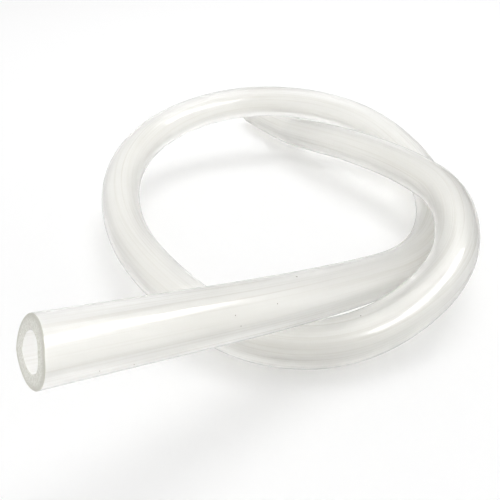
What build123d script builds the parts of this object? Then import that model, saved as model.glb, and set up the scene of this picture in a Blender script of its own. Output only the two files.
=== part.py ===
from build123d import *
import math
import os

# Silicone tubing, one piece, lying in a loose coil of a turn and three quarters. Lengths are in
# millimetres, Z is up, the floor is Z = 0 and the origin is on the floor under the coil's middle.
os.makedirs("parts", exist_ok=True)

bore = 6.4
wall = 2.4
outside = bore + 2 * wall

# The middle of the tube from the raised near end to the far end, counted in outside diameters, so
# the coil keeps its shape with any size of tube. A height of 0.5 lies on the floor.
route = [
    (-3.70, -8.00, 3.15),  # near end, held up by the tube's own set
    (-1.90, -6.70, 2.45),
    (-0.15, -5.50, 1.85),  # over the front strand
    (1.35, -4.15, 1.15),
    (2.80, -2.95, 0.65),
    (3.75, -1.75, 0.50),  # inner strand at the right, on the floor
    (4.40, -0.25, 0.50),
    (4.65, 1.45, 0.65),  # under the outer strand
    (4.15, 3.10, 1.10),
    (2.85, 4.40, 1.65),
    (0.75, 5.15, 1.95),  # back of the coil, over the far end
    (-1.70, 4.85, 2.00),
    (-3.85, 3.40, 1.70),
    (-4.70, 0.95, 1.35),  # left side
    (-4.20, -1.70, 1.00),
    (-2.80, -3.95, 0.95),
    (-0.95, -5.30, 0.50),  # front strand, on the floor, under the near end
    (1.40, -5.30, 0.50),
    (3.65, -3.80, 1.20),
    (4.35, -1.30, 1.60),  # outer strand at the right, over the inner one
    (3.70, 0.90, 1.45),
    (2.30, 2.55, 1.40),
    (1.20, 4.05, 1.10),  # under the back of the coil
    (0.50, 5.80, 0.60),
    (-0.80, 8.20, 0.50),  # far end, on the floor
]
points = [Vector(x, y, z) * outside for x, y, z in route]

# The near end was cut by hand with two strokes, which meet in a low ridge across its face. Each
# stroke leans back from square, then swings to the side. The far end is cut square.
strokes = [(8.5, -0.5), (1.0, 4.0)]
ridge = 0.2  # how far the ridge stands out past the route's first point

# The tube is made one diameter too long at the near end, for the strokes to take off.
outward = (points[0] - points[1]).normalized()
near_end = Plane(origin=points[0], x_dir=Vector(0, 0, 1).cross(outward), z_dir=outward)
points[0] += outward * outside

# Each bend takes up 0.45 of the shorter run beside it, which gives its radius.
bends = []
for before, here, after in zip(points, points[1:], points[2:]):
    one, two = here - before, after - here
    turn = math.radians(one.get_angle(two))
    bends.append(0.45 * min(one.length, two.length) / math.tan(turn / 2))
centre = FilletPolyline(*points, radius=bends)
print("bend radii", [round(r, 1) for r in bends], "length", round(centre.length, 1))

start = Plane(origin=centre @ 0, z_dir=centre % 0)
ring = start * (Circle(outside / 2) - Circle(bore / 2))
tube = sweep(ring, path=centre)
section = math.pi / 4 * (outside**2 - bore**2)
print("volume", round(tube.volume), "section times length", round(section * centre.length))

off_cut = Box(3 * outside, 3 * outside, 3 * outside, align=(Align.CENTER, Align.CENTER, Align.MIN))
for lean, swing in strokes:
    tube -= near_end * Pos(0, 0, ridge) * Rot(-lean, swing, 0) * off_cut
print("volume", round(tube.volume), "box", tube.bounding_box())

tube.label = "tube"
export_step(tube, "parts/tube.step")
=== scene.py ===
import math

import bpy
import numpy as np
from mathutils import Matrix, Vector


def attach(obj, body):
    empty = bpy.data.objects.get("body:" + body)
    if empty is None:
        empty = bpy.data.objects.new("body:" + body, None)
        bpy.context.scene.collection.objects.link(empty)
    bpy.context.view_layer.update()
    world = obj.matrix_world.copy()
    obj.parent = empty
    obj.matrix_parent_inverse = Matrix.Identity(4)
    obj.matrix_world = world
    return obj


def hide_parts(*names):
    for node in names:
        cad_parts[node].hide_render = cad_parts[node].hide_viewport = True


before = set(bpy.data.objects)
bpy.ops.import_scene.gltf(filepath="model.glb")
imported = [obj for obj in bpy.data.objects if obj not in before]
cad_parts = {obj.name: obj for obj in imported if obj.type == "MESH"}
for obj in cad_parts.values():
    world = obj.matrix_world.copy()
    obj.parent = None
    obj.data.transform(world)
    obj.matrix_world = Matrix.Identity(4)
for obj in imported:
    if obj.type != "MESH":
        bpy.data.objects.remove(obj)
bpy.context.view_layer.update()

# Lengths are in metres, in the same frame as the solids: +Z up, the floor at Z = 0.
tubing = {
    "outside": 0.0112,
    "bore": 0.0064,
    "around": 124,  # points round the tube
    "perRun": 15,  # rings for each stretch of the smooth line
    "faceRings": 14,  # rings across each cut face
    # the middle of the tube in outside diameters, from the raised near end to the far end
    "route": [
        (-3.70, -8.00, 3.15), (-1.90, -6.70, 2.45), (-0.15, -5.50, 1.85), (1.35, -4.15, 1.15),
        (2.80, -2.95, 0.65), (3.75, -1.75, 0.50), (4.40, -0.25, 0.50), (4.65, 1.45, 0.65),
        (4.15, 3.10, 1.10), (2.85, 4.40, 1.65), (0.75, 5.15, 1.95), (-1.70, 4.85, 2.00),
        (-3.85, 3.40, 1.70), (-4.70, 0.95, 1.35), (-4.20, -1.70, 1.00), (-2.80, -3.95, 0.95),
        (-0.95, -5.30, 0.50), (1.40, -5.30, 0.50), (3.65, -3.80, 1.20), (4.35, -1.30, 1.60),
        (3.70, 0.90, 1.45), (2.30, 2.55, 1.40), (1.20, 4.05, 1.10), (0.50, 5.80, 0.60),
        (-0.80, 8.20, 0.50),
    ],
    # the near end's two knife strokes: degrees back from square, degrees to the side
    "strokes": [(8.5, -0.5), (1.0, 4.0)],
    "ridge": 0.0002,  # how far the ridge between the strokes stands out
    "blend": 0.006,  # length over which the rings even out behind a cut
    "edge": 0.00012,  # rounding of the cut edges
    "sharp": 40,  # degrees past which an edge stays sharp
}


def routeLine(t):
    # the route's own smooth line: a NURBS curve of order 3 with the route's points as its controls
    curve = bpy.data.curves.new("routeCurve", "CURVE")
    curve.dimensions = "3D"
    curve.resolution_u = t["perRun"]
    spline = curve.splines.new("NURBS")
    spline.points.add(len(t["route"]) - 1)
    for point, place in zip(spline.points, t["route"]):
        point.co = (*[c * t["outside"] for c in place], 1)
    spline.order_u = 3
    spline.use_endpoint_u = True
    holder = bpy.data.objects.new("routeHolder", curve)
    line = bpy.data.meshes.new_from_object(holder)
    points = np.empty(len(line.vertices) * 3)
    line.vertices.foreach_get("co", points)
    bpy.data.objects.remove(holder)
    bpy.data.curves.remove(curve)
    bpy.data.meshes.remove(line)
    return points.reshape(-1, 3)


def lineFrames(middle):
    # at each point of the line: length so far, and the directions ahead, across (level) and up
    along = np.concatenate([[0], np.cumsum(np.linalg.norm(np.diff(middle, axis=0), axis=1))])
    ahead = np.gradient(middle, along, axis=0)
    ahead /= np.linalg.norm(ahead, axis=1)[:, None]
    across = np.cross(ahead, [0, 0, 1.0])
    across /= np.linalg.norm(across, axis=1)[:, None]
    return along, ahead, across, np.cross(across, ahead)


def tubeGrid(t, middle, frames):
    # A hollow tube as one closed surface over a grid of stations and angles. The stations run
    # along the outside, in across the far face, back along the bore and out across the near face.
    # A point is the middle at its station plus its radius times (cos angle across + sin angle up).
    along, ahead, across, up = frames
    outer, inner, edge = t["outside"] / 2, t["bore"] / 2, t["edge"]
    count, rings = len(middle), t["faceRings"]
    station = np.concatenate([np.arange(count), np.full(rings, count - 1),
                              np.arange(count)[::-1], np.zeros(rings, int)])
    acrossFace = np.linspace(outer - edge, inner + edge, rings)
    radius = np.concatenate([np.full(count, outer), acrossFace, np.full(count, inner),
                             acrossFace[::-1]])
    # the last ring of each wall stops short of the face by the edge, which makes a small chamfer
    short = np.zeros(len(station))
    short[[0, 2 * count + rings - 1]] = edge
    short[[count - 1, count + rings]] = -edge
    angle = np.linspace(0, 2 * np.pi, t["around"], endpoint=False)
    x = radius[:, None] * np.cos(angle)
    y = radius[:, None] * np.sin(angle)
    points = (middle[station][:, None] + x[..., None] * across[station][:, None]
              + y[..., None] * up[station][:, None])
    # the near face lies on whichever stroke's plane is further back, and the rings behind even out
    planes = [y * math.tan(math.radians(lean)) + x * math.tan(math.radians(swing))
              for lean, swing in t["strokes"]]
    setBack = np.maximum(*planes) - t["ridge"]
    fade = np.clip(1 - along[station] / t["blend"], 0, 1)
    points += (setBack * fade[:, None] + short[:, None])[..., None] * ahead[station][:, None]
    # across a cut the length goes on by the distance from its rim, before 0 or past the far end
    inwards = (outer - radius) * (station == count - 1) - (outer - radius) * (station == 0)
    inwards[count + rings:2 * count + rings] = 0
    # 0 on the outside, 1 on the cuts, 2 in the bore
    kind = np.repeat([0, 1, 2, 1], [count - 1, rings + 1, count - 1, rings + 1])
    return points, angle, along[station] + inwards, kind


def gridMesh(name, points, along, angle, kind, sharp):
    # a mesh from a grid that closes on itself both ways, with its UV as metres along and turns round
    rows, columns = points.shape[:2]
    r, c = np.meshgrid(np.arange(rows), np.arange(columns), indexing="ij")
    r2, c2 = (r + 1) % rows, (c + 1) % columns
    faces = np.stack([r * columns + c, r2 * columns + c, r2 * columns + c2, r * columns + c2], -1)
    faces = faces.reshape(-1, 4)
    mesh = bpy.data.meshes.new(name)
    mesh.from_pydata(points.reshape(-1, 3), [], faces)
    mesh.polygons.foreach_set("material_index", np.repeat(kind, columns))
    mesh.polygons.foreach_set("use_smooth", np.ones(len(faces), bool))
    turn = np.append(angle, 2 * np.pi)
    u = np.stack([along[r], along[r2], along[r2], along[r]], -1)
    v = np.stack([turn[c], turn[c], turn[c + 1], turn[c + 1]], -1) / (2 * np.pi)
    layer = mesh.uv_layers.new(name="lengthAndTurn")
    layer.uv.foreach_set("vector", np.stack([u, v], -1).reshape(-1).astype(np.float32))
    mesh.update()
    mesh.set_sharp_from_angle(angle=math.radians(sharp))
    return mesh


def feed(tree, node, values):
    # set a node's inputs to plain values, or link them to the outputs of other nodes
    for key, value in values.items():
        if isinstance(value, bpy.types.NodeSocket):
            tree.links.new(value, node.inputs[key])
        else:
            node.inputs[key].default_value = value


def addNode(tree, kind, values=None, **settings):
    node = tree.nodes.new(kind)
    for key, value in settings.items():
        setattr(node, key, value)
    feed(tree, node, values or {})
    return node


def calculate(tree, operation, *values):
    # one Math operation over all the values, two at a time
    total = values[0]
    for value in values[1:]:
        step = addNode(tree, "ShaderNodeMath", {0: total, 1: value}, operation=operation)
        total = step.outputs[0]
    return total


def ranged(tree, value, start, end, low=0.0, high=1.0, way="LINEAR"):
    # goes from low to high while the value goes from start to end
    node = addNode(tree, "ShaderNodeMapRange", {"Value": value, "From Min": start, "From Max": end,
                                                "To Min": low, "To Max": high},
                   interpolation_type=way)
    return node.outputs[0]


def mixed(tree, share, first, second):
    # the first colour at a share of 0, the second at 1
    mix = addNode(tree, "ShaderNodeMix", {"Factor": share, "A": first, "B": second},
                  data_type="RGBA")
    return mix.outputs["Result"]


def newMaterial(name):
    material = bpy.data.materials.new(name)
    material.use_nodes = True
    tree = material.node_tree
    return material, tree, tree.nodes["Principled BSDF"]


def unrolled(tree):
    # the tube's UV: metres along it, and share of a turn round it
    return addNode(tree, "ShaderNodeUVMap", uv_map="lengthAndTurn").outputs["UV"]


def roundAndAlong(tree, fineness, perMetre):
    # the UV's turn as a circle and its length as height, so that no seam shows
    apart = addNode(tree, "ShaderNodeSeparateXYZ", {0: unrolled(tree)})
    turn = calculate(tree, "MULTIPLY", apart.outputs["Y"], 2 * math.pi)
    place = {"Z": calculate(tree, "MULTIPLY", apart.outputs["X"], perMetre)}
    for operation, socket in (("COSINE", "X"), ("SINE", "Y")):
        wave = addNode(tree, "ShaderNodeMath", {0: turn}, operation=operation)
        place[socket] = calculate(tree, "MULTIPLY", wave.outputs[0], fineness)
    return addNode(tree, "ShaderNodeCombineXYZ", place).outputs[0]


dust = {
    "colour": (0.16, 0.14, 0.11, 1),
    "core": 0.6,  # share of a speck's radius that is fully dark
    # each speck: length from the near end, degrees round the tube, radius
    "specks": [
        (0.0507, 90, 0.00024), (0.0327, 34, 0.00013), (0.0339, 12, 0.00012), (0.4110, 96, 0.00017),
        (0.0627, 337, 0.00013), (0.0425, 39, 0.00013), (0.0597, 108, 0.00014), (0.3387, 12, 0.00015),
        (0.0140, 339, 0.00013), (0.0083, 344, 0.00012),
    ],
}


def dusty(tree, colour):
    # dark specks of dust on a colour, each a round spot on the unrolled wall
    girth = math.pi * tubing["outside"]
    wall = addNode(tree, "ShaderNodeVectorMath", {0: unrolled(tree), 1: (1, girth, 0)},
                   operation="MULTIPLY")
    spots = []
    for along, degrees, radius in dust["specks"]:
        gap = addNode(tree, "ShaderNodeVectorMath",
                      {0: wall.outputs[0], 1: (along, degrees / 360 * girth, 0)},
                      operation="DISTANCE")
        spots.append(ranged(tree, gap.outputs["Value"], dust["core"] * radius, radius, 1.0, 0.0))
    return mixed(tree, calculate(tree, "MAXIMUM", *spots), colour, dust["colour"])


silicone = {
    "colour": (1.0, 0.997, 0.980, 1),
    "streakColour": (0.770, 0.755, 0.705, 1),
    "roughness": (0.36, 0.52),  # between the cloudy patches and in them
    "boreRoughness": (0.55, 0.65),
    "transmission": 0.83,
    "ior": 1.25,  # low, because the milky wall bends light less sharply than clear silicone
    "coat": 0.6,  # the gloss of the outside
    "boreCoat": 0.0,
    "coatRoughness": 0.05,
    "coatIor": 1.45,
    # lengthwise die lines: fineness round the tube, patches of them in a metre, octaves and
    # strength of the finer ones, and the noise between which a line fades in
    "streaks": 13.0,
    "streakLength": 14.0,
    "streakDetail": 4.0,
    "streakFineness": 0.6,
    "streakRange": (0.47, 0.70),
    "streakDepth": 0.00004,  # in the glossy skin
    "wallDepth": 0.00003,  # in the wall under it
    # cloudy patches where the lines are stronger: fineness round the tube, number in a metre,
    # octaves, and the noise between which a patch fades in
    "clouds": 0.9,
    "cloudLength": 20.0,
    "cloudDetail": 2.0,
    "cloudRange": (0.40, 0.60),
    "leastStreak": 0.4,  # how strong the lines still are between the patches
}


def siliconeWall(name, roughness, coat):
    # milky silicone: light passes blurred, with die lines along the tube and faint cloudy patches
    s = silicone
    material, tree, shader = newMaterial(name)
    streaks = addNode(tree, "ShaderNodeTexNoise", {
        "Vector": roundAndAlong(tree, s["streaks"], s["streakLength"]), "Scale": 1.0,
        "Detail": s["streakDetail"], "Roughness": s["streakFineness"]}).outputs["Fac"]
    clouds = addNode(tree, "ShaderNodeTexNoise", {
        "Vector": roundAndAlong(tree, s["clouds"], s["cloudLength"]), "Scale": 1.0,
        "Detail": s["cloudDetail"]}).outputs["Fac"]
    strength = ranged(tree, clouds, *s["cloudRange"], s["leastStreak"], 1.0)
    lines = calculate(tree, "MULTIPLY", ranged(tree, streaks, *s["streakRange"]), strength)
    feed(tree, shader, {
        "Base Color": dusty(tree, mixed(tree, lines, s["colour"], s["streakColour"])),
        "Roughness": ranged(tree, clouds, 0.0, 1.0, *roughness),
        "IOR": s["ior"],
        "Transmission Weight": s["transmission"],
        "Coat Weight": coat,
        "Coat Roughness": s["coatRoughness"],
        "Coat IOR": s["coatIor"],
    })
    for depth, socket in ((s["wallDepth"], "Normal"), (s["streakDepth"], "Coat Normal")):
        bump = addNode(tree, "ShaderNodeBump",
                       {"Strength": strength, "Distance": depth, "Height": streaks})
        feed(tree, shader, {socket: bump.outputs[0]})
    return material


cut = {
    "colour": (0.64, 0.63, 0.56, 1),
    "pale": (0.92, 0.92, 0.87, 1),
    "rim": (0.50, 0.49, 0.42, 1),
    "rimWidth": 0.0012,
    "roughness": 0.55,
    "transmission": 0.25,
    "grain": 4200.0,  # fine tearing left by the blade
    "grainDetail": 3.0,
    "grainRange": (0.3, 0.7),  # the noise between which the cut turns pale
    "depth": 0.00006,
}


def siliconeCut(length):
    # a knife cut: matt, a little darker than the wall, with a fine torn grain and a darker rim
    material, tree, shader = newMaterial("cutSilicone")
    place = addNode(tree, "ShaderNodeTexCoord")
    grain = addNode(tree, "ShaderNodeTexNoise", {
        "Vector": place.outputs["Object"], "Scale": cut["grain"],
        "Detail": cut["grainDetail"]}).outputs["Fac"]
    face = mixed(tree, ranged(tree, grain, *cut["grainRange"]), cut["colour"], cut["pale"])
    # distance in from the rim: the length before 0 or past the far end
    apart = addNode(tree, "ShaderNodeSeparateXYZ", {0: unrolled(tree)})
    inwards = calculate(tree, "MAXIMUM", calculate(tree, "SUBTRACT", 0.0, apart.outputs["X"]),
                        calculate(tree, "SUBTRACT", apart.outputs["X"], length))
    rim = ranged(tree, inwards, 0.0, cut["rimWidth"], 1.0, 0.0, "SMOOTHSTEP")
    bump = addNode(tree, "ShaderNodeBump",
                   {"Strength": 1.0, "Distance": cut["depth"], "Height": grain})
    feed(tree, shader, {
        "Base Color": mixed(tree, calculate(tree, "MULTIPLY", rim, grain), face, cut["rim"]),
        "Roughness": cut["roughness"],
        "IOR": silicone["ior"],
        "Transmission Weight": cut["transmission"],
        "Normal": bump.outputs[0],
    })
    return material


middle = routeLine(tubing)
frames = lineFrames(middle)
length = float(frames[0][-1])
points, angle, along, kind = tubeGrid(tubing, middle, frames)
tubeMesh = gridMesh("siliconeTubing", points, along, angle, kind, tubing["sharp"])
tubeMesh.materials.append(siliconeWall("milkySilicone", silicone["roughness"], silicone["coat"]))
tubeMesh.materials.append(siliconeCut(length))
tubeMesh.materials.append(siliconeWall("boreSilicone", silicone["boreRoughness"],
                                       silicone["boreCoat"]))
tube = bpy.data.objects.new("siliconeTubing", tubeMesh)
bpy.context.scene.collection.objects.link(tube)
print("tube", len(tubeMesh.polygons), "faces, length", round(length, 4))
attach(tube, "root")
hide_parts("tube")

view = {
    "place": (-0.90, -12.45, 7.90),  # in outside diameters, as the route is
    "down": 35.3,  # degrees below level, looking along +Y
    "lens": 36.0,
    "sensor": 36.0,
    "clip": 0.005,
}
camera = bpy.data.objects.new("camera", bpy.data.cameras.new("camera"))
camera.data.lens = view["lens"]
camera.data.sensor_width = view["sensor"]
camera.data.clip_start = view["clip"]
camera.location = [c * tubing["outside"] for c in view["place"]]
camera.rotation_euler = (math.radians(90 - view["down"]), 0, 0)
bpy.context.scene.collection.objects.link(camera)
bpy.context.scene.camera = camera
print("camera set")

table = {
    "size": 3.0,
    "colour": (0.93, 0.93, 0.93, 1),
    "roughness": 0.9,
    "specular": 0.2,
    "lift": 0.055,  # how much brighter it is where it is seen
}
floorMesh = bpy.data.meshes.new("tableTop")
half = table["size"] / 2
floorMesh.from_pydata([(-half, -half, 0), (half, -half, 0), (half, half, 0), (-half, half, 0)], [],
                      [(0, 1, 2, 3)])
floor = bpy.data.objects.new("tableTop", floorMesh)
bpy.context.scene.collection.objects.link(floor)


def seenDirectly(tree):
    # 1 for rays from the camera, straight or by way of gloss or the tube, and 0 for the rest
    path = addNode(tree, "ShaderNodeLightPath")
    kinds = ("Is Camera Ray", "Is Glossy Ray", "Is Transmission Ray")
    return calculate(tree, "MAXIMUM", *[path.outputs[kind] for kind in kinds])


def whiteTable():
    # a matt white, a little brighter where it is seen
    material, tree, shader = newMaterial("whiteTable")
    feed(tree, shader, {
        "Base Color": table["colour"],
        "Roughness": table["roughness"],
        "Specular IOR Level": table["specular"],
        "Emission Color": (1, 1, 1, 1),
        "Emission Strength": calculate(tree, "MULTIPLY", seenDirectly(tree), table["lift"]),
    })
    return material


floorMesh.materials.append(whiteTable())
print("table set")

light = {
    "sky": 0.80,
    "seenSky": 1.12,  # how bright the room shows in the tube and behind it
    # dark places of the room that only gloss shows: direction, the cosines between which they fade
    # in, and how bright they are
    "dark": [
        ((0.80, 0.56, 0.21), 0.82, 0.94, 0.0),
        ((0.0, -0.95, 0.30), 0.70, 0.93, 0.1),
    ],
}
# towards each lamp, its distance, width, height and power, and whether only gloss shows it
lamps = {
    "overheadSoftbox": ((0.18, 0.30, 1.0), 0.8, 0.45, 0.45, 1.65, False),
    "sideSoftbox": ((0.63, -0.07, 0.76), 0.8, 0.50, 0.24, 7.5, True),
    "frontSoftbox": ((0.52, -0.47, 0.71), 0.8, 0.25, 0.25, 3.0, True),
}
for name, (towards, distance, width, height, power, glossOnly) in lamps.items():
    lamp = bpy.data.objects.new(name, bpy.data.lights.new(name, "AREA"))
    lamp.data.shape = "RECTANGLE"
    lamp.data.size = width
    lamp.data.size_y = height
    lamp.data.energy = power
    lamp.visible_diffuse = lamp.visible_transmission = not glossOnly
    direction = Vector(towards).normalized()
    lamp.location = direction * distance
    lamp.rotation_euler = direction.to_track_quat("Z", "Y").to_euler()
    bpy.context.scene.collection.objects.link(lamp)


def room():
    # an even white room, a little dimmer for matt surfaces, whose dark places only gloss shows
    world = bpy.data.worlds.new("room")
    world.use_nodes = True
    tree = world.node_tree
    place = addNode(tree, "ShaderNodeTexCoord")
    path = addNode(tree, "ShaderNodeLightPath")
    shades = []
    for towards, begin, full, left in light["dark"]:
        facing = addNode(tree, "ShaderNodeVectorMath",
                         {0: place.outputs["Generated"], 1: Vector(towards).normalized()},
                         operation="DOT_PRODUCT")
        shades.append(ranged(tree, facing.outputs["Value"], begin, full, 1.0, left, "SMOOTHSTEP"))
    notGloss = calculate(tree, "SUBTRACT", 1.0, path.outputs["Is Glossy Ray"])
    shade = calculate(tree, "MAXIMUM", notGloss, calculate(tree, "MULTIPLY", *shades))
    level = ranged(tree, seenDirectly(tree), 0.0, 1.0, light["sky"], light["seenSky"])
    feed(tree, tree.nodes["Background"],
         {"Color": (1, 1, 1, 1), "Strength": calculate(tree, "MULTIPLY", shade, level)})
    return world


bpy.context.scene.world = room()
print("lamps and room set")

bpy.context.scene.view_settings.view_transform = "Standard"
